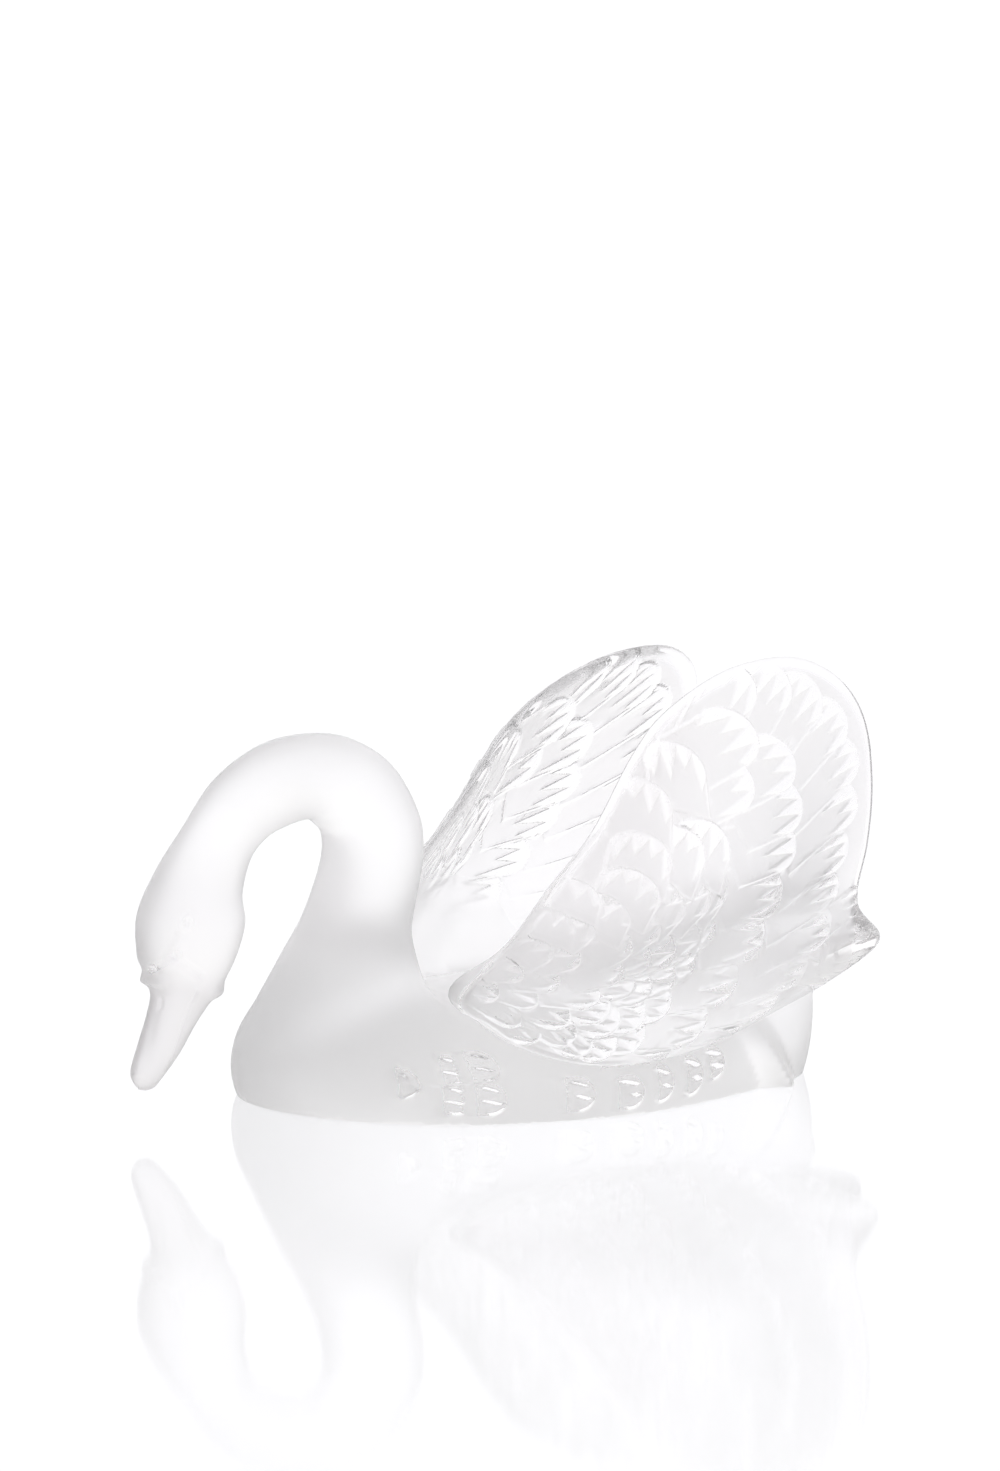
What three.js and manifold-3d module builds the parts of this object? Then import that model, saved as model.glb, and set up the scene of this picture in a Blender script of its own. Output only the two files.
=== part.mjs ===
// A swan figurine moulded in one piece of glass: a hull-shaped body that stands on its flat
// underside, an arched neck with the head lowered in front of the breast, two raised cupped
// wings and a short fanned tail.
//
// Frame: millimetres, +Z up. The swan faces -Y, its left side is +X, and it is symmetric
// about X = 0. The origin is on the underside, at the middle of the length and the width.
import * as THREE from "three";
import { mergeVertices } from "three/addons/utils/BufferGeometryUtils.js";
import Module from "manifold-3d";

// ---------------------------------------------------------------- driving dimensions
const TAIL_TIP_Y = 172; // half the length from the bill's tip to the tail's tip
const BODY_RINGS_PER_STATION = 3;
const SECTION_POINTS = 30;
const WING_EDGE_POINTS = 52;
const WING_STEPS = 7; // rings from the middle of a wing's face to its edge
const FLOOR_CUT = 400; // side of the block that trims everything below the underside

// The bird's spine, from the stern to the bill's tip. Each station is a flat section across
// the body: its point on the back (dorsal y, z), its point on the belly or throat
// (ventral y, z), its half width, and its fullness (2 is an ellipse, more is boxier).
// The belly of the hull runs below the floor, where the flat underside trims it.
const STATIONS = [
  { at: "stern", back: [158, 40], front: [156, 30], half: 4, full: 2 },
  { at: "under the tail", back: [153, 44], front: [140, -2], half: 13, full: 2 },
  { at: "vent", back: [141, 46], front: [130, -20], half: 28, full: 2.1 },
  { at: "rump", back: [121, 48], front: [115, -26], half: 43, full: 2.2 },
  { at: "flank", back: [105, 49.5], front: [103, -27], half: 51, full: 2.3 },
  { at: "hips", back: [88, 50], front: [87, -28], half: 58.5, full: 2.3 },
  { at: "loin", back: [58, 49], front: [58, -30], half: 72, full: 2.3 },
  { at: "mid back", back: [22, 47], front: [22, -32], half: 85, full: 2.3 },
  { at: "withers", back: [-8, 45], front: [-10, -32], half: 89, full: 2.3 },
  { at: "shoulders", back: [-32, 44], front: [-40, -34], half: 86, full: 2.2 },
  { at: "crop", back: [-43, 45], front: [-76, -26], half: 80, full: 2.1 },
  { at: "keel", back: [-50, 48], front: [-101, -9], half: 69, full: 2 },
  { at: "breast", back: [-52.5, 54], front: [-110, 12], half: 55, full: 2 },
  { at: "upper breast", back: [-51, 62], front: [-107, 34], half: 40, full: 2 },
  { at: "neck root", back: [-49.5, 71], front: [-99, 56], half: 29, full: 2 },
  { at: "low neck", back: [-45.5, 82], front: [-90, 74], half: 23, full: 2 },
  { at: "rear neck", back: [-41.5, 97], front: [-82.5, 94], half: 20.6, full: 2 },
  { at: "rising arch", back: [-43, 114], front: [-81.5, 105.5], half: 20, full: 2 },
  { at: "back of arch", back: [-55, 134], front: [-85.5, 110.5], half: 19.4, full: 2 },
  { at: "top of arch", back: [-73, 145], front: [-90.5, 113.5], half: 18.4, full: 2 },
  { at: "crest of arch", back: [-92, 147.5], front: [-97, 113.5], half: 17.4, full: 2 },
  { at: "falling arch", back: [-112, 144], front: [-104.5, 111.5], half: 16.8, full: 2 },
  { at: "front of arch", back: [-132, 132], front: [-113, 108], half: 15.9, full: 2 },
  { at: "nape", back: [-147, 113.5], front: [-121, 100.5], half: 15.2, full: 2 },
  { at: "back of crown", back: [-159, 98], front: [-125, 87], half: 16.2, full: 2 },
  { at: "crown", back: [-168, 81], front: [-123.5, 76], half: 17.2, full: 2 },
  { at: "brow", back: [-168, 66], front: [-127, 64], half: 15.8, full: 2 },
  { at: "bill root", back: [-163, 53], front: [-133, 53], half: 11.8, full: 2 },
  { at: "upper bill", back: [-164.5, 43], front: [-144.5, 38.5], half: 9.2, full: 2 },
  { at: "mid bill", back: [-168.5, 32], front: [-153, 26], half: 8, full: 2 },
  { at: "low bill", back: [-172, 21.5], front: [-162, 16], half: 6.8, full: 2 },
  { at: "bill tip", back: [-172, 15], front: [-166.5, 11.5], half: 3.6, full: 2 },
];

// The pointed foot that flares out of each flank where the hull meets the floor.
const FLANK = { y: 101, lean: 0.7, reach: 14, out: 11, height: 34 };

// A wing is a thick cupped shell. Its edge is a closed loop of (y, z) points seen from the
// side, each with the distance x of the shell's middle from the plane of symmetry. The face
// between them is the smoothest sheet through the edge, its most prominent point and the
// shoulder.
const WING_EDGE = [
  { at: "front tip", y: -61, z: 46, x: 60 },
  { at: "wrist", y: -36, z: 62, x: 52 },
  { at: "leading edge", y: -12, z: 85, x: 49 },
  { at: "leading edge", y: 10, z: 107, x: 49 },
  { at: "leading edge", y: 32, z: 137, x: 47 },
  { at: "upper front", y: 51, z: 154, x: 45 },
  { at: "upper front", y: 81, z: 168, x: 43 },
  { at: "crest", y: 111, z: 172, x: 43.5 },
  { at: "upper rear", y: 130, z: 165, x: 48 },
  { at: "upper rear", y: 139, z: 149, x: 56 },
  { at: "rear edge", y: 139.5, z: 121, x: 62 },
  { at: "rear edge", y: 136.5, z: 97, x: 63 },
  { at: "rear notch", y: 133.5, z: 73, x: 60 },
  { at: "trailing tip", y: 150, z: 56, x: 54 },
  { at: "lower edge", y: 124, z: 42, x: 57 },
  { at: "lower edge", y: 86, z: 32, x: 67 },
  { at: "lower edge", y: 36, z: 22, x: 82 },
  { at: "lower edge", y: -12, z: 20, x: 88 },
  { at: "lower front", y: -43, z: 27, x: 83 },
  { at: "lower front", y: -56, z: 37, x: 72 },
];
const WING_MIDDLE = { at: "most prominent", y: 36, z: 74, x: 92 };
const WING_SHOULDER = { at: "shoulder", y: -6, z: 60, x: 83 };
const WING_THICKNESS = 10;
const WING_RIM = 8; // the edge rounds off over this distance
// The inner face swells at its foot, so that the back lies between the wings as in a bowl.
const BOWL = { foot: 38, top: 104, swell: 52, blunt: 6 };

// The tail: a flat fan of feathers with rounded tips, tilted up towards its end.
const TAIL = {
  rootY: 78,
  rootHalf: 30,
  cornerX: 44,
  cornerY: 150,
  feathers: 7,
  thickness: 11,
  rootZ: 40,
  tipZ: 52,
};

const GLASS = { color: 0xe9e6e7, roughness: 0.35, metalness: 0 };

// ---------------------------------------------------------------- helpers
const wasm = await Module();
wasm.setup();

// A closed surface through rings of points, closed at each end by a point of its own.
function skin(rings, start, end) {
  const count = rings[0].length;
  const points = [...rings.flat(), start, end];
  const first = points.length - 2;
  const last = points.length - 1;
  const index = [];
  for (let r = 0; r + 1 < rings.length; r++)
    for (let i = 0; i < count; i++) {
      const a = r * count + i;
      const b = r * count + ((i + 1) % count);
      index.push(a, b, b + count, a, b + count, a + count);
    }
  const tail = (rings.length - 1) * count;
  for (let i = 0; i < count; i++) {
    const j = (i + 1) % count;
    index.push(first, j, i, last, tail + i, tail + j);
  }
  const geometry = new THREE.BufferGeometry().setFromPoints(points);
  geometry.setIndex(index);
  return geometry;
}

// A closed three.js geometry as a manifold-3d solid, turned to face outwards.
function solid(geometry) {
  const bare = geometry.clone();
  for (const name of ["normal", "uv"]) bare.deleteAttribute(name);
  const merged = mergeVertices(bare, 1e-4);
  const triVerts = new Uint32Array(merged.index.array);
  const vertProperties = merged.attributes.position.array;
  const made = () => new wasm.Manifold(new wasm.Mesh({ numProp: 3, vertProperties, triVerts }));
  const first = made();
  if (first.volume() > 0) return first;
  triVerts.reverse();
  return made();
}

// A manifold-3d solid as a three.js geometry.
function geometryOf(shape) {
  const mesh = shape.getMesh();
  const geometry = new THREE.BufferGeometry();
  geometry.setAttribute("position", new THREE.BufferAttribute(mesh.vertProperties, 3));
  geometry.setIndex(new THREE.BufferAttribute(mesh.triVerts, 1));
  geometry.computeVertexNormals();
  return geometry;
}

// A smooth curve through points; t runs from 0 to 1 with equal steps from point to point.
function through(points, closed = false) {
  return new THREE.CatmullRomCurve3(
    points.map(([x, y, z]) => new THREE.Vector3(x, y, z)),
    closed,
    "catmullrom",
  );
}

// ---------------------------------------------------------------- body, neck and head
function flare(y, z) {
  const ridge = FLANK.y - FLANK.lean * Math.max(z, 0);
  const across = Math.max(0, 1 - Math.abs(y - ridge) / FLANK.reach);
  const down = THREE.MathUtils.clamp(1 - z / FLANK.height, 0, 1);
  return FLANK.out * across * down;
}

function section(back, front, half, full) {
  const ring = [];
  for (let i = 0; i < SECTION_POINTS; i++) {
    const angle = (2 * Math.PI * (i + 0.5)) / SECTION_POINTS;
    const sin = Math.sin(angle);
    const cos = Math.cos(angle);
    const side = Math.sign(sin) * Math.abs(sin) ** (2 / full);
    const along = Math.sign(cos) * Math.abs(cos) ** (2 / full);
    const point = front.clone().lerp(back, 0.5 + 0.5 * along);
    point.x = side * half;
    point.x += Math.abs(side) ** 2 * Math.sign(side) * flare(point.y, point.z);
    ring.push(point);
  }
  return ring;
}

function bird() {
  const backLine = through(STATIONS.map((s) => [0, ...s.back]));
  const frontLine = through(STATIONS.map((s) => [0, ...s.front]));
  const shape = through(STATIONS.map((s) => [s.half, s.full, 0]));
  const steps = (STATIONS.length - 1) * BODY_RINGS_PER_STATION;
  const rings = [];
  for (let i = 0; i <= steps; i++) {
    const t = i / steps;
    const { x: half, y: full } = shape.getPoint(t);
    rings.push(section(backLine.getPoint(t), frontLine.getPoint(t), half, full));
  }
  const middle = (t) => backLine.getPoint(t).lerp(frontLine.getPoint(t), 0.5);
  return skin(rings, middle(0), middle(1));
}

// ---------------------------------------------------------------- wings
// The smoothest sheet x(y, z) through the given points: a spline on the cube of distance.
function sheet(points) {
  const kernel = (a, b) => Math.hypot(a.y - b.y, a.z - b.z) ** 3;
  const plane = (p) => [1, p.y, p.z];
  const rows = points.map((p) => [...points.map((q) => kernel(p, q)), ...plane(p), p.x]);
  for (let k = 0; k < 3; k++) rows.push([...points.map((q) => plane(q)[k]), 0, 0, 0, 0]);
  const weights = solve(rows);
  return (p) =>
    [...points.map((q) => kernel(p, q)), ...plane(p)].reduce(
      (sum, term, i) => sum + term * weights[i],
      0,
    );
}

// The unknowns of a set of linear equations, one row each with its right-hand side last.
function solve(rows) {
  const n = rows.length;
  for (let c = 0; c < n; c++) {
    const best = rows.findIndex(
      (row, r) => r >= c && rows.slice(c).every((other) => Math.abs(other[c]) <= Math.abs(row[c])),
    );
    [rows[c], rows[best]] = [rows[best], rows[c]];
    for (let r = 0; r < n; r++) {
      if (r === c) continue;
      const share = rows[r][c] / rows[c][c];
      for (let k = c; k <= n; k++) rows[r][k] -= share * rows[c][k];
    }
  }
  return rows.map((row, r) => row[n] / row[r]);
}

// Half the shell's thickness at s, from the face's middle (0) to its edge (1).
function halfThickness(edge, s) {
  const span = Math.hypot(edge.y - WING_MIDDLE.y, edge.z - WING_MIDDLE.z);
  const inward = Math.min(1, ((1 - s) * span) / WING_RIM);
  return 0.5 * WING_THICKNESS * Math.sqrt(1 - (1 - inward) ** 2);
}

function bowl(z, s) {
  const up = THREE.MathUtils.clamp((BOWL.top - z) / (BOWL.top - BOWL.foot), 0, 1);
  return BOWL.swell * up ** 2.5 * (1 - s ** BOWL.blunt);
}

function wing(side) {
  const edgeLine = through(WING_EDGE.map((p) => [p.x, p.y, p.z]), true);
  const edge = edgeLine.getPoints(WING_EDGE_POINTS).slice(0, -1);
  const middle = sheet([...WING_EDGE, WING_MIDDLE, WING_SHOULDER]);
  const onFace = (point, s, face) => {
    const y = THREE.MathUtils.lerp(WING_MIDDLE.y, point.y, s);
    const z = THREE.MathUtils.lerp(WING_MIDDLE.z, point.z, s);
    const inner = face < 0 ? bowl(z, s) : 0;
    const x = middle({ y, z }) + face * (halfThickness(point, s) + inner);
    return new THREE.Vector3(side * x, y, z);
  };
  const ring = (s, face) => edge.map((point) => onFace(point, s, face));
  const steps = Array.from({ length: WING_STEPS }, (_, k) =>
    Math.sin((0.5 * Math.PI * (k + 0.5)) / WING_STEPS),
  );
  const rings = steps.map((s) => ring(s, 1));
  rings.push(ring(1, 0));
  rings.push(...steps.toReversed().map((s) => ring(s, -1)));
  return skin(rings, onFace(edge[0], 0, 1), onFace(edge[0], 0, -1));
}

// ---------------------------------------------------------------- tail
function tail() {
  const outline = new THREE.Shape();
  outline.moveTo(-TAIL.rootHalf, TAIL.rootY);
  outline.lineTo(TAIL.rootHalf, TAIL.rootY);
  const tipY = (x) =>
    THREE.MathUtils.lerp(TAIL_TIP_Y, TAIL.cornerY, (x / TAIL.cornerX) ** 2) - notch;
  const notch = TAIL.cornerX / TAIL.feathers;
  const width = (2 * TAIL.cornerX) / TAIL.feathers;
  outline.lineTo(TAIL.cornerX, tipY(TAIL.cornerX));
  for (let f = 0; f < TAIL.feathers; f++) {
    const from = TAIL.cornerX - f * width;
    const to = from - width;
    const middle = (from + to) / 2;
    const reach = 2 * (tipY(middle) + notch) - (tipY(from) + tipY(to)) / 2;
    outline.quadraticCurveTo(middle, reach, to, tipY(to));
  }
  outline.lineTo(-TAIL.rootHalf, TAIL.rootY);
  const fan = new THREE.ExtrudeGeometry(outline, {
    depth: TAIL.thickness,
    bevelEnabled: false,
    curveSegments: 6,
  });
  const tilt = Math.atan2(TAIL.tipZ - TAIL.rootZ, TAIL_TIP_Y - TAIL.rootY);
  fan.translate(0, -TAIL.rootY, -TAIL.thickness / 2);
  fan.rotateX(tilt);
  fan.translate(0, TAIL.rootY, TAIL.rootZ);
  return fan;
}

// ---------------------------------------------------------------- the moulded piece
function swan() {
  const belowFloor = new THREE.BoxGeometry(FLOOR_CUT, FLOOR_CUT, FLOOR_CUT);
  belowFloor.translate(0, 0, -FLOOR_CUT / 2);
  const moulded = [wing(1), wing(-1), tail()]
    .map(solid)
    .reduce((whole, piece) => whole.add(piece), solid(bird()))
    .subtract(solid(belowFloor));
  const mesh = new THREE.Mesh(geometryOf(moulded), new THREE.MeshStandardMaterial(GLASS));
  mesh.name = "swan";
  return mesh;
}

const figurine = new THREE.Group();
figurine.add(swan());

export default figurine;
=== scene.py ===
"""A swan figurine in moulded glass: satin body, neck and head, and polished relief feathers.

The piece repeats the CAD model's shape formulas at a finer resolution, in metres, and carves
the feathers, the tail's vanes and the face into it. Lengths in this file are in millimetres
until the mesh is made.
"""

import math

import bpy
import numpy as np
from mathutils import Matrix


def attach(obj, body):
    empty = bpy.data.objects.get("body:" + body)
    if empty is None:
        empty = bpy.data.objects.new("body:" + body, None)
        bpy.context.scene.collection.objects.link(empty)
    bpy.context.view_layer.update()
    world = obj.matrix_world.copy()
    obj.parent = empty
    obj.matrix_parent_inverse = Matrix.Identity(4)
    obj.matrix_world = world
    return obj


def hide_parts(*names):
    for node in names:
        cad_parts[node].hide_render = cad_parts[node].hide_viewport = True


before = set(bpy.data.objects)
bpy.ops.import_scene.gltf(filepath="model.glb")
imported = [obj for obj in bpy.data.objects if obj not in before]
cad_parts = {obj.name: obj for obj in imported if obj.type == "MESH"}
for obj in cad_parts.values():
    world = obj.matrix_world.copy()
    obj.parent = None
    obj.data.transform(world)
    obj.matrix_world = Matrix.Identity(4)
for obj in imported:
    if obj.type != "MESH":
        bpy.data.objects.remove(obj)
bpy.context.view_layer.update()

MM = 0.001
# What each part is thinned to before they are joined, in triangles.
BODY_TRIANGLES, WING_TRIANGLES, TAIL_TRIANGLES = 76_000, 54_000, 8_000

# ---------------------------------------------------------------- the CAD model's dimensions
# Spine stations: back (y, z), front (y, z), half width, fullness of the section.
STATIONS = np.array([
    (158, 40, 156, 30, 4, 2),
    (153, 44, 140, -2, 13, 2),
    (141, 46, 130, -20, 28, 2.1),
    (121, 48, 115, -26, 43, 2.2),
    (105, 49.5, 103, -27, 51, 2.3),
    (88, 50, 87, -28, 58.5, 2.3),
    (58, 49, 58, -30, 72, 2.3),
    (22, 47, 22, -32, 85, 2.3),
    (-8, 45, -10, -32, 89, 2.3),
    (-32, 44, -40, -34, 86, 2.2),
    (-43, 45, -76, -26, 80, 2.1),
    (-50, 48, -101, -9, 69, 2),
    (-52.5, 54, -110, 12, 55, 2),
    (-51, 62, -107, 34, 40, 2),
    (-49.5, 71, -99, 56, 29, 2),
    (-45.5, 82, -90, 74, 23, 2),
    (-41.5, 97, -82.5, 94, 20.6, 2),
    (-43, 114, -81.5, 105.5, 20, 2),
    (-55, 134, -85.5, 110.5, 19.4, 2),
    (-73, 145, -90.5, 113.5, 18.4, 2),
    (-92, 147.5, -97, 113.5, 17.4, 2),
    (-112, 144, -104.5, 111.5, 16.8, 2),
    (-132, 132, -113, 108, 15.9, 2),
    (-147, 113.5, -121, 100.5, 15.2, 2),
    (-159, 98, -125, 87, 16.2, 2),
    (-168, 81, -123.5, 76, 17.2, 2),
    (-168, 66, -127, 64, 15.8, 2),
    (-163, 53, -133, 53, 11.8, 2),
    (-164.5, 43, -144.5, 38.5, 9.2, 2),
    (-168.5, 32, -153, 26, 8, 2),
    (-172, 21.5, -162, 16, 6.8, 2),
    (-172, 15, -166.5, 11.5, 3.6, 2),
])
HEAD_STATION = 22  # from here on the rings are closer together
BODY_RINGS = 420
RING_WEIGHTS = {"head": 2.6, "neck": 1.0, "flank": 2.6}  # how closely each part's rings lie
BILL_TIP = 4  # length of the bill's rounded end
BILL_TIP_END = 0.01  # the square of how much of the last ring is left
FLANK_Y, FLANK_LEAN, FLANK_REACH, FLANK_OUT, FLANK_HEIGHT = 101, 0.7, 14, 11, 34
# The wing's edge seen from the side (y, z), with the shell's distance x from the middle plane.
WING_EDGE = np.array([
    (-61, 46, 60), (-36, 62, 52), (-12, 85, 49), (10, 107, 49), (32, 137, 47),
    (51, 154, 45), (81, 168, 43), (111, 172, 43.5), (130, 165, 48), (139, 149, 56),
    (139.5, 121, 62), (136.5, 97, 63), (133.5, 73, 60), (150, 56, 54), (124, 42, 57),
    (86, 32, 67), (36, 22, 82), (-12, 20, 88), (-43, 27, 83), (-56, 37, 72),
])
WING_MIDDLE = np.array((36, 74, 92))
WING_SHOULDER = np.array((-6, 60, 83))
WING_THICKNESS, WING_RIM = 10, 8
WING_AROUND, WING_OUTER_STEPS, WING_INNER_STEPS = 900, 160, 30  # rows of the fine mesh
BOWL_FOOT, BOWL_TOP, BOWL_SWELL, BOWL_BLUNT = 38, 104, 52, 6
TAIL_TIP_Y, TAIL_ROOT_Y, TAIL_ROOT_HALF, TAIL_CORNER_X, TAIL_CORNER_Y = 172, 78, 30, 44, 150
TAIL_FEATHERS, TAIL_THICKNESS, TAIL_ROOT_Z, TAIL_TIP_Z = 7, 11, 40, 52
TAIL_FLAT, TAIL_ROUND = 0.93, 0.07  # shares of the tail's size: flat, then rounded edge
TAIL_GROOVE, TAIL_BARB, TAIL_BARBS = 1.8, 0.35, 26  # groove depth, barb height, barbs in a row
FLOOR_CUT = 400

# ---------------------------------------------------------------- the carved feathers
# Each row of feathers on a wing, from the shoulder outwards. path is the curve its tips
# follow, from the leading edge round to the lower edge (y, z); lean is each feather's
# direction in degrees above the horizontal, at the row's two ends.
ROWS = [
    dict(path=[(-14, 79), (-22, 67), (-33, 57), (-46, 48)], count=4, half=5.5, long=15,
         lean=(62, -35), rim=1.8, spikes=3, spike=6),
    dict(path=[(-2, 90), (-9, 74), (-19, 59), (-31, 48), (-44, 38)], count=6, half=6.5,
         long=17, lean=(58, -45), rim=2, spikes=3, spike=7),
    dict(path=[(4, 84), (1, 69), (-8, 54), (-22, 41), (-40, 32)], count=6, half=7.5, long=20,
         lean=(50, -45), rim=2.3, spikes=3, spike=8),
    dict(path=[(17, 93), (13, 76), (3, 59), (-8, 44), (-26, 31)], count=6, half=8.5, long=24,
         lean=(48, -42), rim=2.6, spikes=4, spike=9),
    dict(path=[(25, 107), (25, 88), (17, 69), (5, 52), (-8, 37), (-20, 27)], count=6, half=9,
         long=25, lean=(58, -40), rim=2.8, spikes=4, spike=10),
    dict(path=[(30, 128), (38, 109), (36, 91), (28, 73), (15, 56), (2, 39), (-10, 26)], count=7,
         half=9.5, long=27, lean=(70, -32), rim=3, spikes=4, spike=11),
    dict(path=[(45, 142), (47, 112), (44, 96), (35, 78), (24, 62), (13, 44), (2, 29)],
         count=7, half=10, long=28, lean=(76, -25), rim=3.2, spikes=4, spike=12),
    dict(path=[(79, 148), (70, 130), (94, 136), (93, 119), (86, 104), (75, 86), (63, 69),
               (48, 51), (34, 35), (18, 25)], count=10, half=11.5, long=38, lean=(24, -6),
         rim=4, spikes=4, spike=17, knots=True),
    dict(path=[(86, 170), (103, 169), (117, 163), (127, 152), (130, 136), (127, 118),
               (121, 100), (116, 83), (114, 67), (100, 52), (82, 40), (62, 31)], count=12, half=10,
         long=54, lean=(44, -4), rim=3.8, spikes=4, spike=19, knots=True),
    dict(path=[(135, 76), (143, 65), (149, 56), (139, 48), (120, 42)], count=5, half=7,
         long=30, lean=(22, -16), rim=2.6, spikes=3, spike=13, knots=True),
]
TILT = 1.9  # how far a feather's root lies below its tip
RECESS = 1.3  # how far the satin vane lies below the polished rim
BASE_LEVEL = -2.2  # the smooth ground between the feathers
STEP, LIP = 0.3, 1.1  # a feather's edge above or below the ground, and its width
ROOT_SHARE = 0.25  # the part of a feather's length over which its recess sets in
TIP_LENGTH = 1.15  # the tip's curve is a little longer than round
SIDE_RIM, SIDE_SOFT, SIDE_RISE = 1.5, 0.8, 0.8  # the low rim along a feather's sides
SPIKE_SOFT = 0.9  # width of a spike's sloping side
# The band of single feathers low on each flank: tip (y, z), half width, length. Each is a
# polished window in the satin flank.
FLANK_FEATHERS = [
    ((-82, 16), 7, 10), ((-65, 21), 6.5, 14), ((-65, 10), 6.5, 16), ((-53, 22), 6.5, 17),
    ((-53, 10), 7, 17), ((-16, 10), 7.5, 19), ((8, 9), 7.5, 19), ((25, 11), 8.5, 13),
    ((44, 12), 9, 15), ((59, 15), 7.5, 14),
]
FLANK_EDGING = (2.2, 3, 9)  # rim, number of spikes, length of a spike
FLANK_RELIEF, FLANK_RECESS, FLANK_LIP = 1.2, 0.9, 2.2  # tip height, recess, edge width
FLANK_WINDOW, FLANK_ROOT = 1.5, 0.4  # over how much the polish sets in at edge and root
FLANK_X, FLANK_Z = 30, (-2, 34)  # the flank lies beyond this x, between these heights
FLANK_RING_Y, FLANK_RING_Z = (-106, 64), 22  # spine points whose rings cross the flank band
# How satin their rims and vanes are, and the rims on the wings; 1 is the body.
FLANK_RIM, FLANK_VANE, RIM_SATIN = 0.1, 0.35, 0.45
HEAD_PAINTED_SHADE, BILL_PAINTED_SHADE = 0.5, 0.75  # how much painted shade the head and the bill get

# ---------------------------------------------------------------- the face
EYE = np.array((16.5, -157.5, 78.8))
EYE_RINGS = [(0.9, 2.7, 0.5), (-1.1, 1.7, 0.3), (0.8, 0, 1.2)]  # height, radius, spread
GROOVE = ((13, -162.2, 66), (5, -167, 60), 1.9)  # the polished groove to the knob
GROOVE_DEPTH = 1.8
# Raised (+) and sunk (-) marks: height, start and end on the head, width.
FACE_MARKS = [
    (-1.3, (15, -161, 73.5), (12.5, -163.5, 65.5), 2.2),  # from the eye down to the groove
    (-GROOVE_DEPTH, *GROOVE),
    (-1.2, (13, -162, 66), (12, -149.5, 58), 1.4),  # where the bill meets the cheek
    (1.6, (0, -167, 62), (0, -165, 57), 6),  # forehead over the bill
    (2.2, (3, -166, 55.5), (6.5, -165, 54.5), 2.6),  # knob
    (-0.9, (6.5, -166, 49), (6, -166, 46), 1.0),  # nostril
    (2.2, (0, -137, 49.5), (8, -138.5, 50.5), 3.2),  # jaw
    (-0.7, (7.2, -150, 52), (7, -160, 20), 0.8),  # the line of the mouth
]
DEEP_MARK = 1.4  # a mark this deep gets the full painted shade

# ---------------------------------------------------------------- curves and sections


def smooth(x):
    x = np.clip(x, 0, 1)
    return x * x * (3 - 2 * x)


def spline(points, t, closed=False):
    """A uniform Catmull-Rom curve through points at parameters t from 0 to 1."""
    points = np.asarray(points, float)
    n = len(points)
    spans = n if closed else n - 1
    p = np.asarray(t, float) * spans
    i = np.minimum(np.floor(p).astype(int), spans - 1)
    w = (p - i)[:, None]
    if closed:
        a, b, c, d = (points[(i + k) % n] for k in (-1, 0, 1, 2))
    else:
        ends = np.vstack([2 * points[0] - points[1], points, 2 * points[-1] - points[-2]])
        a, b, c, d = (ends[i + k] for k in (0, 1, 2, 3))
    m0, m1 = 0.5 * (c - a), 0.5 * (d - b)
    return (
        b + m0 * w + (3 * (c - b) - 2 * m0 - m1) * w**2 + (2 * (b - c) + m0 + m1) * w**3
    )


def flare(y, z):
    ridge = FLANK_Y - FLANK_LEAN * np.maximum(z, 0)
    across = np.maximum(0, 1 - np.abs(y - ridge) / FLANK_REACH)
    return FLANK_OUT * across * np.clip(1 - z / FLANK_HEIGHT, 0, 1)


def section_angles():
    """Where a section's points lie, closer together low on the flanks; 0 is the back."""
    right = np.concatenate([
        np.linspace(0, 50, 19, endpoint=False), np.linspace(50, 106, 80, endpoint=False),
        np.linspace(106, 180, 20, endpoint=False)])
    return np.radians(np.sort(np.concatenate([right, 360 - right[1:], [180]])))


def body_rings(t):
    """Rings of the body's sections at spine parameters t: an array (rings, points, 3)."""
    at = spline(STATIONS, t)
    back, front, half, full = at[:, None, 0:2], at[:, None, 2:4], at[:, 4:5], at[:, 5:6]
    angle = section_angles()
    sin, cos = np.sin(angle)[None], np.cos(angle)[None]
    side = np.sign(sin) * np.abs(sin) ** (2 / full)
    along = np.sign(cos) * np.abs(cos) ** (2 / full)
    yz = front + (back - front) * (0.5 + 0.5 * along)[..., None]
    x = side * half
    x = x + side**2 * np.sign(side) * flare(yz[..., 0], yz[..., 1])
    return np.concatenate([x[..., None], yz], axis=-1)


def skin(rings, start, end):
    """Vertices and triangles of the closed surface through rings, capped by two points."""
    count = rings.shape[1]
    verts = np.vstack([rings.reshape(-1, 3), start, end])
    r, i = np.meshgrid(np.arange(len(rings) - 1), np.arange(count), indexing="ij")
    a, b = r * count + i, r * count + (i + 1) % count
    quads = np.stack([a, b, b + count, a + count], -1).reshape(-1, 4)
    faces = np.vstack([quads[:, [0, 1, 2]], quads[:, [0, 2, 3]]])
    i = np.arange(count)
    j = (i + 1) % count
    last = (len(rings) - 1) * count
    first_point = np.full(count, len(verts) - 2)
    end_point = np.full(count, len(verts) - 1)
    caps = np.vstack([np.stack([first_point, j, i], -1),
                      np.stack([end_point, last + i, last + j], -1)])
    return verts, np.vstack([faces, caps])


def outward(verts, faces):
    a, b, c = (verts[faces[:, k]] for k in range(3))
    volume = np.einsum("ij,ij->", a, np.cross(b, c))
    return faces if volume > 0 else faces[:, ::-1]


def normals(verts, faces):
    a, b, c = (verts[faces[:, k]] for k in range(3))
    face_normal = np.cross(b - a, c - a)
    total = np.zeros_like(verts)
    for k in range(3):
        np.add.at(total, faces[:, k], face_normal)
    return total / np.maximum(np.linalg.norm(total, axis=1, keepdims=True), 1e-12)


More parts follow.
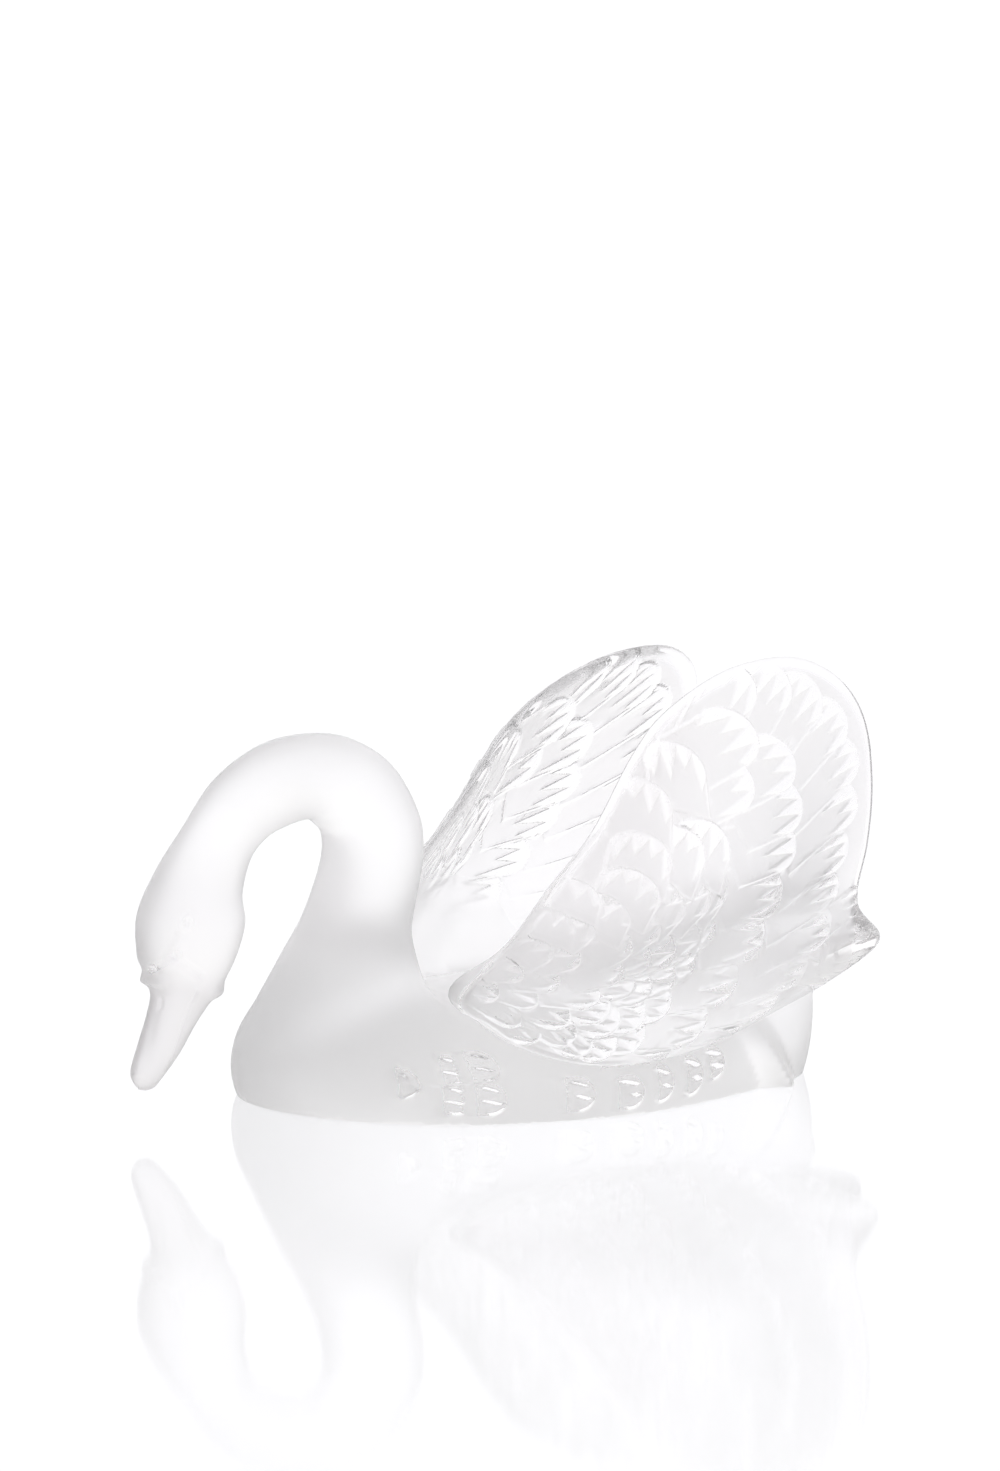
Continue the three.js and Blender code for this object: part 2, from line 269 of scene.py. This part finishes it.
def to_object(name, verts, faces):
    mesh = bpy.data.meshes.new(name)
    mesh.vertices.add(len(verts))
    mesh.vertices.foreach_set("co", (verts * MM).astype(np.float32).ravel())
    mesh.loops.add(len(faces) * 3)
    mesh.loops.foreach_set("vertex_index", faces.astype(np.int32).ravel())
    mesh.polygons.add(len(faces))
    mesh.polygons.foreach_set("loop_start", np.arange(0, len(faces) * 3, 3, dtype=np.int32))
    mesh.update(calc_edges=True)
    made = bpy.data.objects.new(name, mesh)
    bpy.context.collection.objects.link(made)
    return made


# ---------------------------------------------------------------- feathers as a height map
def feather_list():
    """Every feather on a wing as (tip, direction, half width, length, rim, spikes, spike),
    top first."""
    feathers = []
    for row in ROWS:
        share = np.linspace(0, 1, row["count"])
        tips = np.asarray(row["path"], float) if row.get("knots") else spline(row["path"], share)
        leans = np.radians(row["lean"][0] + (row["lean"][1] - row["lean"][0]) * share)
        for tip, lean in zip(tips, leans):
            direction = np.array((math.cos(lean), math.sin(lean)))
            shape = [row[key] for key in ("half", "long", "rim", "spikes", "spike")]
            feathers.append((tip, direction, *shape))
    return feathers


def vane(y, z, tip, direction, half, long, rim, spikes, spike):
    """For points (y, z): distance inside the feather's outline, place along it from root (0)
    to tip (1), and how far the polished rim and its spikes rise (0 to 1)."""
    dy, dz = y - tip[0], z - tip[1]
    u = dy * direction[0] + dz * direction[1]  # 0 at the tip, negative towards the root
    v = -dy * direction[1] + dz * direction[0]
    deep = TIP_LENGTH * half
    side = half - np.hypot(np.maximum(u + deep, 0) / TIP_LENGTH, v)
    along = 1 + u / long
    inside = np.minimum(side, long * along)
    across = np.clip(np.abs(v) / half, 0, 1)
    edge = deep * (np.sqrt(1 - across**2) - 1)  # the outline's own u at this v
    spread = (v / half + 1) * 0.5 * spikes
    wave = np.abs(spread % 1 - 0.5) * 2
    uneven = 0.75 + 0.25 * np.cos(2.4 * np.floor(spread) + tip[0])
    reach = rim + (1 - wave) * spike * uneven
    steep = np.hypot(1, spike * uneven * spikes / half)
    raised = smooth((u - (edge - reach)) / (SPIKE_SOFT * steep) + 0.5)
    raised = np.maximum(raised, SIDE_RISE * smooth((SIDE_RIM - side) / SIDE_SOFT))
    return inside, np.clip(along, 0, 1), raised


def relief(y, z, feathers):
    """Height of the carved face at (y, z), never above 0, and how satin it is (0 to 1)."""
    height = np.full(y.shape, float(BASE_LEVEL))
    satin = np.ones(y.shape)
    free = np.ones(y.shape, bool)
    for tip, direction, half, long, *edging in feathers:
        near = free & (np.hypot(y - tip[0], z - tip[1]) < long + half)
        if not near.any():
            continue
        inside, along, raised = vane(y[near], z[near], tip, direction, half, long, *edging)
        hit = inside > 0
        root = smooth(along / ROOT_SHARE)
        top = BASE_LEVEL + STEP + TILT * along
        level = top - RECESS * (1 - raised) * root
        lip = smooth(inside / LIP)
        level = BASE_LEVEL - STEP + (level - BASE_LEVEL + STEP) * lip
        index = np.flatnonzero(near)[hit]
        height.flat[index] = level[hit]
        satin.flat[index] = (1 - raised)[hit]
        free.flat[index] = False
    return height, satin


# ---------------------------------------------------------------- wings
def sheet(points):
    """The smoothest x(y, z) through the points: a spline on the cube of distance."""
    knots, values = points[:, :2], points[:, 2]

    def basis(y, z):
        r = np.hypot(y[..., None] - knots[:, 0], z[..., None] - knots[:, 1]) ** 3
        return np.concatenate([r, np.stack([np.ones_like(y), y, z], -1)], -1)

    n = len(knots)
    system = np.zeros((n + 3, n + 3))
    system[:n] = basis(knots[:, 0], knots[:, 1])
    system[n:, :n] = system[:n, n:].T
    weights = np.linalg.solve(system, np.concatenate([values, np.zeros(3)]))
    return lambda y, z: basis(y, z) @ weights


WING_SHEET = sheet(np.vstack([WING_EDGE, WING_MIDDLE, WING_SHOULDER]))
FEATHERS = feather_list()


def wing(around, outer_steps, inner_steps):
    """One wing (the +X one) as vertices and faces, with the carved outer face."""
    edge = spline(WING_EDGE, np.arange(around) / around, closed=True)[:, :2]
    span = np.hypot(*(edge - WING_MIDDLE[:2]).T)

    def rings(s, outer):
        s = s[:, None]
        y = WING_MIDDLE[0] + (edge[None, :, 0] - WING_MIDDLE[0]) * s
        z = WING_MIDDLE[1] + (edge[None, :, 1] - WING_MIDDLE[1]) * s
        inward = np.minimum(1, (1 - s) * span[None] / WING_RIM)
        half = 0.5 * WING_THICKNESS * np.sqrt(np.maximum(0, 1 - (1 - inward) ** 2))
        x = WING_SHEET(y, z)
        if outer:
            height, _ = relief(y, z, FEATHERS)
            x = x + half + height * smooth((1 - s) * span[None] / 3.5)
        else:
            up = np.clip((BOWL_TOP - z) / (BOWL_TOP - BOWL_FOOT), 0, 1)
            x = x - half - BOWL_SWELL * up**2.5 * (1 - s**BOWL_BLUNT)
        return np.stack([x, y, z], -1)

    def steps(count):
        k = (np.arange(count) + 0.5) / count
        return 1 - (1 - k) ** 1.25

    outer = rings(steps(outer_steps), True)
    rim = rings(np.ones(1), True)
    inner = rings(steps(inner_steps)[::-1], False)
    start = rings(np.zeros(1), True)[0, :1]
    end = rings(np.zeros(1), False)[0, :1]
    verts, faces = skin(np.concatenate([outer, rim, inner]), start, end)
    return verts, outward(verts, faces)


# ---------------------------------------------------------------- body
def face_marks(verts):
    """How far each point of the head moves along its normal, how satin it is and how much painted
    shade it gets: darker in the carved hollows, on the head and on the bill."""
    mirrored = np.stack([np.abs(verts[:, 0]), verts[:, 1], verts[:, 2]], -1)

    def near(a, b, width):
        a, b = (mirrored[np.argmin(np.linalg.norm(mirrored - p, axis=1))] for p in (a, b))
        along = b - a
        t = np.clip((mirrored - a) @ along / max(along @ along, 1e-9), 0, 1)
        gap = np.linalg.norm(mirrored - a - t[:, None] * along, axis=1)
        return np.exp(-((gap / width) ** 2))

    eye = np.linalg.norm(mirrored - EYE, axis=1)
    move = np.zeros(len(verts))
    for height, radius, spread in EYE_RINGS:
        move += height * np.exp(-((eye - radius) ** 2) / spread)
    for height, start, end, width in FACE_MARKS:
        move += height * near(start, end, width)
    # Painted shade: the carved hollows darken with depth, and the head and the bill are greyed by
    # a set amount.
    hollow_shade = np.clip(-move / DEEP_MARK, 0, 1)
    head = smooth((-112 - verts[:, 1]) / 35) * smooth((118 - verts[:, 2]) / 30)
    bill = smooth((62 - verts[:, 2]) / 16) * (verts[:, 1] < -120)
    return move, 1 - near(*GROOVE), np.maximum(hollow_shade, HEAD_PAINTED_SHADE * head + BILL_PAINTED_SHADE * bill)


def flank_marks(verts):
    """How far each point of the flanks stands out for the band of single feathers, and how
    satin it is."""
    x, y, z = np.abs(verts[:, 0]), verts[:, 1], verts[:, 2]
    move = np.zeros(len(verts))
    satin = np.ones(len(verts))
    flank = (x > FLANK_X) & (z < FLANK_Z[1]) & (z > FLANK_Z[0])
    for tip, half, long in FLANK_FEATHERS:
        inside, along, raised = vane(y, z, tip, (1, 0), half, long, *FLANK_EDGING)
        hit = flank & (inside > 0)
        height = FLANK_RELIEF * (0.25 + 0.75 * along) - FLANK_RECESS * (1 - raised)
        move[hit] = (height * smooth(inside / FLANK_LIP))[hit]
        polished = 1 - FLANK_VANE + (FLANK_VANE - FLANK_RIM) * raised
        window = smooth(inside / FLANK_WINDOW) * smooth(along / FLANK_ROOT)
        satin[hit] = (1 - polished * window)[hit]
    return move, satin


def bird():
    count = len(STATIONS) - 1
    head = HEAD_STATION / count
    fine = np.linspace(0, 1, 400)
    middle = spline(STATIONS, fine)
    line = np.stack([(middle[:, 0] + middle[:, 2]) / 2, (middle[:, 1] + middle[:, 3]) / 2], -1)
    low, high = FLANK_RING_Y
    hull = (line[1:, 0] > low) & (line[1:, 0] < high) & (line[1:, 1] < FLANK_RING_Z)
    weight = np.where(fine[1:] > head, RING_WEIGHTS["head"], RING_WEIGHTS["neck"])
    weight = np.where(hull, RING_WEIGHTS["flank"], weight)
    step = np.hypot(*np.diff(line, axis=0).T) * weight
    length = np.concatenate([[0], np.cumsum(step)])
    t = np.interp(np.linspace(0, length[-1], BODY_RINGS), length, fine)
    rings = body_rings(t)
    middles = rings.mean(1, keepdims=True)
    to_tip = np.linalg.norm(middles - middles[-1], axis=-1, keepdims=True)
    rings = middles + (rings - middles) * np.sqrt(
        np.maximum(BILL_TIP_END, 1 - np.clip(1 - to_tip / BILL_TIP, 0, 1) ** 2))
    ends = spline(STATIONS, np.array((0.0, 1.0)))
    caps = [[(0, (e[0] + e[2]) / 2, (e[1] + e[3]) / 2)] for e in ends]
    verts, faces = skin(rings, caps[0], caps[1])
    faces = outward(verts, faces)
    normal = normals(verts, faces)
    move = face_marks(verts)[0] + flank_marks(verts)[0]
    return verts + normal * move[:, None], faces


# ---------------------------------------------------------------- tail
def tail():
    """The fan of tail feathers, each one crowned, with a groove between neighbours."""
    columns, lengthwise = 141, 50
    across = np.linspace(-1, 1, columns)
    tilt = math.atan2(TAIL_TIP_Z - TAIL_ROOT_Z, TAIL_TIP_Y - TAIL_ROOT_Y)
    notch = TAIL_CORNER_X / TAIL_FEATHERS
    place = (across + 1) / 2 * TAIL_FEATHERS
    inside = np.abs(place - np.floor(place) - 0.5) * 2  # 0 on a shaft, 1 between feathers
    inside[-1] = 1
    tip_y = TAIL_TIP_Y + (TAIL_CORNER_Y - TAIL_TIP_Y) * across**2 - notch * inside**2

    def rounding(share):
        return np.sqrt(np.clip(1 - np.clip((share - TAIL_FLAT) / TAIL_ROUND, 0, 1) ** 2, 0, 1))

    def face(sign):
        k = np.linspace(0, 1, lengthwise)[:, None]
        x = (TAIL_ROOT_HALF + (TAIL_CORNER_X - TAIL_ROOT_HALF) * k) * across[None]
        y = TAIL_ROOT_Y + (tip_y[None] - TAIL_ROOT_Y) * k
        rounded = rounding(k)
        side = rounding(np.abs(across))
        groove = TAIL_GROOVE * smooth((inside[None] - 0.55) / 0.45) * smooth((k - 0.25) / 0.3)
        barb = TAIL_BARB * np.sin(2 * np.pi * (k * TAIL_BARBS + 2.2 * inside[None]))
        barb = barb * (inside[None] > 0.12)  # none on the shaft
        half = (TAIL_THICKNESS / 2 - groove + barb * smooth((k - 0.3) / 0.2) - 0.4) * rounded
        h = sign * half * side[None]
        return np.stack([
            x,
            TAIL_ROOT_Y + (y - TAIL_ROOT_Y) * math.cos(tilt) - h * math.sin(tilt),
            TAIL_ROOT_Z + (y - TAIL_ROOT_Y) * math.sin(tilt) + h * math.cos(tilt),
        ], -1)

    top, under = face(1), face(-1)
    loops = np.concatenate([top, under[:, ::-1]], axis=1)
    start = loops[0].mean(0, keepdims=True)
    # The two faces meet along the tips, so the last loop is closed by a strip, not a fan.
    count = 2 * columns
    verts, faces = skin(loops, start, loops[-1].mean(0, keepdims=True))
    end_point = len(verts) - 1
    faces = faces[~(faces == end_point).any(1)]
    base = (lengthwise - 1) * count
    i = np.arange(columns - 1)
    a, b = base + i, base + i + 1
    c, d = base + count - 1 - i, base + count - 2 - i
    faces = np.vstack([faces, np.stack([a, b, d], -1), np.stack([a, d, c], -1)])
    verts = verts[:-1]
    return verts, outward(verts, faces)


# ---------------------------------------------------------------- one moulded piece
def combine(target, tool, operation):
    mod = target.modifiers.new("join", "BOOLEAN")
    mod.operation = operation
    mod.solver = "MANIFOLD"
    mod.object = tool


def finished(obj, name):
    """A copy of the object with its modifiers applied; the object itself is removed."""
    graph = bpy.context.evaluated_depsgraph_get()
    mesh = bpy.data.meshes.new_from_object(obj.evaluated_get(graph))
    mesh.name = name
    bpy.data.objects.remove(obj)
    made = bpy.data.objects.new(name, mesh)
    bpy.context.collection.objects.link(made)
    return made


def thinned(name, verts, faces, triangles):
    """The closed mesh as an object, thinned where it is flat."""
    made = to_object(name, verts, faces)
    mod = made.modifiers.new("thin", "DECIMATE")
    mod.ratio = min(1, triangles / len(faces))
    return finished(made, name)


def swan():
    wing_mesh = wing(WING_AROUND, WING_OUTER_STEPS, WING_INNER_STEPS)
    left = thinned("wing_left", *wing_mesh, WING_TRIANGLES)
    right = left.copy()
    right.data = left.data.copy()
    right.data.transform(Matrix.Scale(-1, 4, (1, 0, 0)))
    right.data.flip_normals()
    bpy.context.collection.objects.link(right)
    body = thinned("body", *bird(), BODY_TRIANGLES)
    block = FLOOR_CUT / 2 * np.array([
        (sx, sy, sz - 1) for sx in (-1, 1) for sy in (-1, 1) for sz in (-1, 1)])
    box_faces = np.array([
        (0, 1, 3), (0, 3, 2), (4, 6, 7), (4, 7, 5), (0, 4, 5), (0, 5, 1),
        (2, 3, 7), (2, 7, 6), (0, 2, 6), (0, 6, 4), (1, 5, 7), (1, 7, 3)])
    tools = [
        (left, "UNION"),
        (right, "UNION"),
        (thinned("tail", *tail(), TAIL_TRIANGLES), "UNION"),
        (to_object("below_floor", block, outward(block, box_faces)), "DIFFERENCE"),
    ]
    for tool, operation in tools:
        combine(body, tool, operation)
    whole = finished(body, "swan_glass")
    for tool, _ in tools:
        bpy.data.objects.remove(tool)
    whole.data.calc_loop_triangles()
    print("triangles", len(whole.data.loop_triangles))
    return whole


OUTLINE_SLACK = 1.015  # how far past the wing's edge still counts as wing
OUTER_REACH, INNER_REACH = 4.5, 2.5  # how far from the shell's middle the two faces start
CLEAR_RIM, CLEAR_RIM_SOFT = 0.94, 0.03  # the polished band along a wing's upper edge
CLEAR_POLISH = 0.7  # how much less satin it is
LOW_PAINTED_SHADE = 0.4  # how much painted shade is left low on a wing


def finish_of(verts):
    """For each vertex: how satin it is (polished 0, the body 1), and how much painted shade it
    gets (the recessed satin floor of a carved feather, the carved hollows of the face, the head
    and the bill)."""
    x, y, z = np.abs(verts[:, 0]), verts[:, 1], verts[:, 2]
    satin = np.ones(len(verts))
    painted_shade = np.zeros(len(verts))
    middle = WING_SHEET(y, z)
    out = wing_share(y, z)
    in_outline = out < OUTLINE_SLACK
    outer = in_outline & (np.abs(x - middle - WING_THICKNESS / 2) < OUTER_REACH)
    _, carved = relief(y, z, FEATHERS)
    upper_edge = smooth((out - CLEAR_RIM) / CLEAR_RIM_SOFT) * smooth((z - 60) / 20)
    trailing_tip = smooth((y - 128) / 8) * smooth((82 - z) / 8)
    clear = np.maximum(upper_edge, trailing_tip)
    satin[outer] = (RIM_SATIN + (1 - RIM_SATIN) * carved * (1 - clear))[outer]
    satin[outer] *= (1 - CLEAR_POLISH * clear)[outer]
    # Painted shade in the recessed satin floor of each feather, stronger higher up the wing and
    # none on the polished edges.
    shade_by_height = LOW_PAINTED_SHADE + 0.6 * smooth((z - 65) / 45)
    painted_shade[outer] = (carved * (1 - clear) * shade_by_height)[outer]
    inner = in_outline & (x < middle - INNER_REACH)
    deck = smooth((92 - z) / 30) * smooth((70 - y) / 40)
    satin[inner] = deck[inner]
    rim = in_outline & ~outer & ~inner
    satin[rim] = 0
    satin = np.minimum(satin, flank_marks(verts)[1])
    _, face_satin, face_shade = face_marks(verts)
    return np.minimum(satin, face_satin), np.maximum(painted_shade, face_shade)


def wing_share(y, z):
    """Where (y, z) lies between the wing's middle (0) and its edge (1)."""
    edge = spline(WING_EDGE, np.arange(240) / 240, closed=True)[:, :2]
    angle = np.arctan2(edge[:, 1] - WING_MIDDLE[1], edge[:, 0] - WING_MIDDLE[0])
    span = np.hypot(edge[:, 0] - WING_MIDDLE[0], edge[:, 1] - WING_MIDDLE[1])
    order = np.argsort(angle)
    at = np.arctan2(z - WING_MIDDLE[1], y - WING_MIDDLE[0])
    reach = np.interp(at, angle[order], span[order], period=2 * np.pi)
    return np.hypot(y - WING_MIDDLE[0], z - WING_MIDDLE[1]) / reach


piece = swan()
co = np.empty(len(piece.data.vertices) * 3)
piece.data.vertices.foreach_get("co", co)
# The first layer sets the roughness; the second holds the painted shade for the base colour.
for name, values in zip(("satin", "painted_shade"), finish_of(co.reshape(-1, 3) / MM)):
    layer = piece.data.attributes.new(name, "FLOAT", "POINT")
    layer.data.foreach_set("value", values.astype(np.float32))
piece.data.polygons.foreach_set("use_smooth", np.ones(len(piece.data.polygons), bool))
piece.data.materials.clear()

# ---------------------------------------------------------------- glass
# The glass's own faint tint, and the grey painted as shade into the recesses, the hollows, the
# head and the bill.
CLEAR, PAINTED_SHADE_COLOUR = (1, 0.992, 0.995, 1), (0.86, 0.845, 0.85, 1)
GLASS_IOR = 1.34
POLISHED, SATIN = 0.03, 0.5
MOTTLE_SCALE, MOTTLE_DETAIL, MOTTLE_AMOUNT = 90, 3, 0.06
MIX_FACTOR, MIX_CLEAR, MIX_PAINTED_SHADE, MIX_RESULT = 0, 6, 7, 2  # the mix node's colour sockets


def glass():
    made = bpy.data.materials.new("moulded_glass")
    made.use_nodes = True
    nodes, links = made.node_tree.nodes, made.node_tree.links
    shader = nodes["Principled BSDF"]
    shader.inputs["Transmission Weight"].default_value = 1
    shader.inputs["IOR"].default_value = GLASS_IOR
    # Painted shade: the base colour mixes towards grey by the vertex attribute that holds the
    # painted shade.
    painted_shade = nodes.new("ShaderNodeAttribute")
    painted_shade.attribute_name = "painted_shade"
    painted_shade_mix = nodes.new("ShaderNodeMix")
    painted_shade_mix.data_type = "RGBA"
    painted_shade_mix.inputs[MIX_CLEAR].default_value = CLEAR
    painted_shade_mix.inputs[MIX_PAINTED_SHADE].default_value = PAINTED_SHADE_COLOUR
    links.new(painted_shade.outputs["Fac"], painted_shade_mix.inputs[MIX_FACTOR])
    links.new(painted_shade_mix.outputs[MIX_RESULT], shader.inputs["Base Color"])
    satin = nodes.new("ShaderNodeAttribute")
    satin.attribute_name = "satin"
    where = nodes.new("ShaderNodeTexCoord")
    mottle = nodes.new("ShaderNodeTexNoise")
    mottle.inputs["Scale"].default_value = MOTTLE_SCALE
    mottle.inputs["Detail"].default_value = MOTTLE_DETAIL
    links.new(where.outputs["Object"], mottle.inputs["Vector"])
    rough = nodes.new("ShaderNodeMapRange")
    rough.inputs["To Min"].default_value = POLISHED
    rough.inputs["To Max"].default_value = SATIN
    links.new(satin.outputs["Fac"], rough.inputs["Value"])
    vary = nodes.new("ShaderNodeMath")
    vary.operation = "MULTIPLY_ADD"
    vary.inputs[1].default_value = MOTTLE_AMOUNT
    links.new(mottle.outputs["Fac"], vary.inputs[0])
    links.new(rough.outputs["Result"], vary.inputs[2])
    links.new(vary.outputs[0], shader.inputs["Roughness"])
    return made


piece.data.materials.append(glass())
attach(piece, "root")
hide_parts("swan")

# ---------------------------------------------------------------- floor, light and camera
FLOOR_SIZE = 12.0
FLOOR_WHITE, FLOOR_GLOW, FLOOR_GLOSS = 0.1, 0.97, 0.4
FLOOR_MIRROR, FLOOR_MIRROR_ROUGHNESS = (0.96, 0.96, 1, 1), 0.07
FLOOR_Z = -0.0002
# Brightness of the room in front and behind, at the swan's two sides, and overhead.
ROOM, ROOM_SIDES, ROOM_TOP = 1.08, 0.32, 0.85
SIDES_START, SIDES_END = 0.5, 0.92  # how far to the side the room dims
TOP_START, TOP_END = 0.3, 0.85  # how far up the room dims
CAMERA_AZIMUTH, CAMERA_ELEVATION, CAMERA_DISTANCE = 55, 6.1, 2.5
CAMERA_TARGET_Z = 0.08
CAMERA_TILT = -4.675  # the camera aims a little above the swan
FOCAL, SENSOR = 152.96, 36
REFLECTIONS = 12  # how often light may be reflected inside the glass


def floor():
    mesh = bpy.data.meshes.new("floor")
    h = FLOOR_SIZE / 2
    corners = [(x, y, FLOOR_Z) for x, y in ((-h, -h), (h, -h), (h, h), (-h, h))]
    mesh.from_pydata(corners, [], [(0, 1, 2, 3)])
    made = bpy.data.objects.new("floor", mesh)
    bpy.context.collection.objects.link(made)
    material = bpy.data.materials.new("white_gloss")
    material.use_nodes = True
    nodes, links = material.node_tree.nodes, material.node_tree.links
    ground = nodes["Principled BSDF"]
    ground.inputs["Base Color"].default_value = (FLOOR_WHITE, FLOOR_WHITE, FLOOR_WHITE, 1)
    ground.inputs["Roughness"].default_value = 1
    ground.inputs["Specular IOR Level"].default_value = 0
    ground.inputs["Emission Color"].default_value = (1, 1, 1, 1)
    ground.inputs["Emission Strength"].default_value = FLOOR_GLOW
    mirror = nodes.new("ShaderNodeBsdfGlossy")
    mirror.inputs["Color"].default_value = FLOOR_MIRROR
    mirror.inputs["Roughness"].default_value = FLOOR_MIRROR_ROUGHNESS
    both = nodes.new("ShaderNodeMixShader")
    both.inputs["Fac"].default_value = FLOOR_GLOSS
    links.new(ground.outputs[0], both.inputs[1])
    links.new(mirror.outputs[0], both.inputs[2])
    links.new(both.outputs[0], nodes["Material Output"].inputs["Surface"])
    mesh.materials.append(material)


def studio():
    """A white room, brightest low down in front of the swan and behind it, dimmer overhead
    and at its sides."""
    world = bpy.data.worlds.new("studio")
    world.use_nodes = True
    bpy.context.scene.world = world
    nodes, links = world.node_tree.nodes, world.node_tree.links
    background = nodes["Background"]
    background.inputs["Color"].default_value = (1, 1, 1, 1)
    where = nodes.new("ShaderNodeTexCoord")

    def ramp(source, low, high, start, end):
        made = nodes.new("ShaderNodeMapRange")
        made.interpolation_type = "SMOOTHSTEP"
        for name, value in zip(("From Min", "From Max", "To Min", "To Max"),
                               (low, high, start, end)):
            made.inputs[name].default_value = value
        links.new(source, made.inputs["Value"])
        return made.outputs["Result"]

    def combined(operation, a, b=None):
        made = nodes.new("ShaderNodeMath")
        made.operation = operation
        links.new(a, made.inputs[0])
        if b is not None:
            links.new(b, made.inputs[1])
        return made.outputs[0]

    sideways = nodes.new("ShaderNodeVectorMath")
    sideways.operation = "DOT_PRODUCT"
    az = math.radians(CAMERA_AZIMUTH)
    sideways.inputs[1].default_value = (math.cos(az), math.sin(az), 0)
    links.new(where.outputs["Generated"], sideways.inputs[0])
    split = nodes.new("ShaderNodeSeparateXYZ")
    links.new(where.outputs["Generated"], split.inputs[0])
    off_axis = combined("ABSOLUTE", sideways.outputs["Value"])
    side = ramp(off_axis, SIDES_START, SIDES_END, ROOM, ROOM_SIDES)
    top = ramp(split.outputs["Z"], TOP_START, TOP_END, 0, ROOM - ROOM_TOP)
    links.new(combined("SUBTRACT", side, top), background.inputs["Strength"])


def camera():
    data = bpy.data.cameras.new("camera")
    data.lens = FOCAL
    data.sensor_width = SENSOR
    data.clip_end = 100
    made = bpy.data.objects.new("camera", data)
    bpy.context.collection.objects.link(made)
    a, e = math.radians(CAMERA_AZIMUTH), math.radians(CAMERA_ELEVATION)
    made.location = (
        CAMERA_DISTANCE * math.sin(a) * math.cos(e),
        -CAMERA_DISTANCE * math.cos(a) * math.cos(e),
        CAMERA_TARGET_Z + CAMERA_DISTANCE * math.sin(e),
    )
    made.rotation_euler = (math.radians(90 + CAMERA_TILT), 0, a)
    bpy.context.scene.camera = made


floor()
studio()
camera()
bpy.context.scene.view_settings.view_transform = "Standard"
bpy.context.scene.cycles.glossy_bounces = REFLECTIONS
